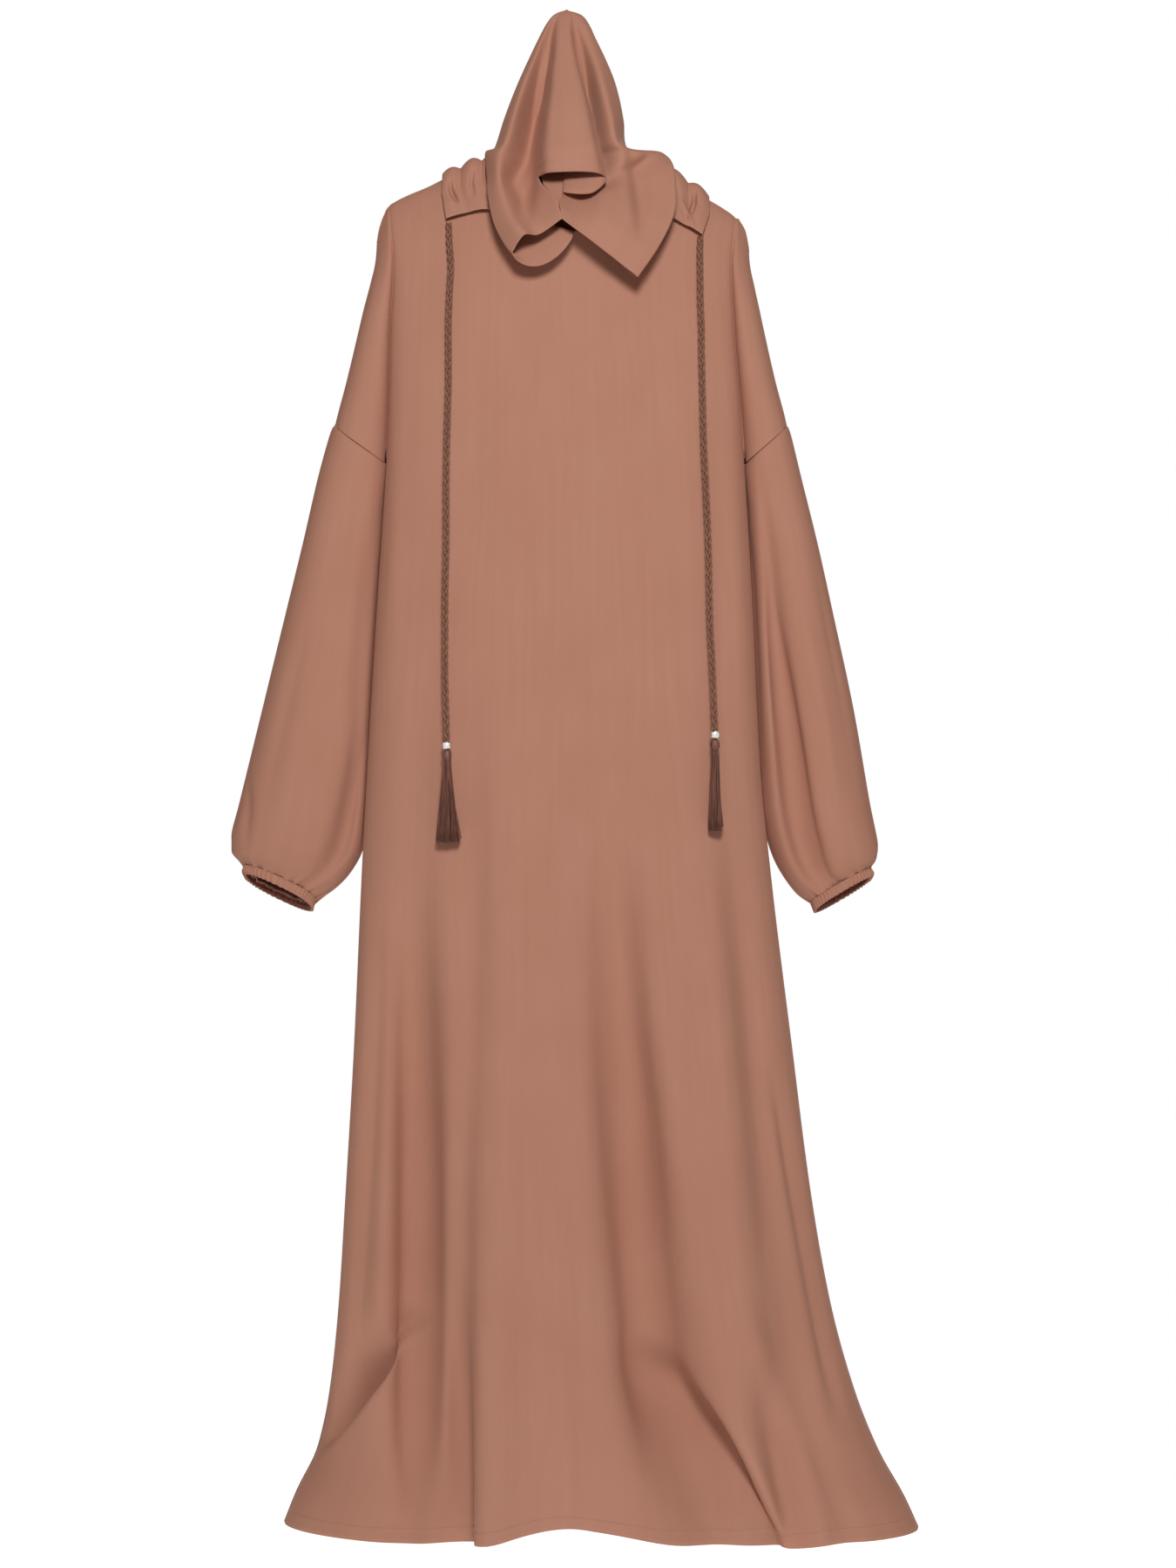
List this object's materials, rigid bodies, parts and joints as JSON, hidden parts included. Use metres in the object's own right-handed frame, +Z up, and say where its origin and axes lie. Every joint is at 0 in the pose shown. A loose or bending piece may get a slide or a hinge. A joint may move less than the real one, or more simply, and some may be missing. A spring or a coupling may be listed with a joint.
{
  "type": "hooded dress",
  "caption": "Long loose hooded dress with dropped shoulders, full sleeves gathered at the wrist, a hood with wings over the chest, and a tasselled drawstring, hung by the hood's tip.",
  "frame": {"origin": "the tip of the hood, where the dress is held up", "axes": "+Z up, the dress's front faces -Y, +X to the right as seen from the front"},
  "size_m": [0.723, 0.2368, 1.5867],
  "materials": {
    "crepe_front": "soft matt crepe",
    "crepe_back": "soft matt crepe",
    "crepe_sleeve_left": "soft matt crepe",
    "crepe_sleeve_right": "soft matt crepe",
    "crepe_cuff_left": "gathered crepe",
    "crepe_cuff_right": "gathered crepe",
    "crepe_hood": "soft matt crepe",
    "crepe_casing_left": "soft matt crepe",
    "crepe_casing_right": "soft matt crepe",
    "crepe_casing_back": "gathered crepe",
    "braid_left": "braided thread",
    "braid_right": "braided thread",
    "silver_left": "faceted silver",
    "silver_right": "faceted silver",
    "thread_left": "loose thread",
    "thread_right": "loose thread"
  },
  "bodies": {
    "root": {"front": "crepe_front", "back": "crepe_back", "sleeve_left": "crepe_sleeve_left", "sleeve_right": "crepe_sleeve_right", "cuff_left": "crepe_cuff_left", "cuff_right": "crepe_cuff_right", "hood": "crepe_hood", "casing_left": "crepe_casing_left", "casing_right": "crepe_casing_right", "casing_back": "crepe_casing_back", "cord_left": "braid_left", "cord_right": "braid_right", "bead_left": "silver_left", "bead_right": "silver_right", "tassel_left": "thread_left", "tassel_right": "thread_right"}
  },
  "joints": []
}
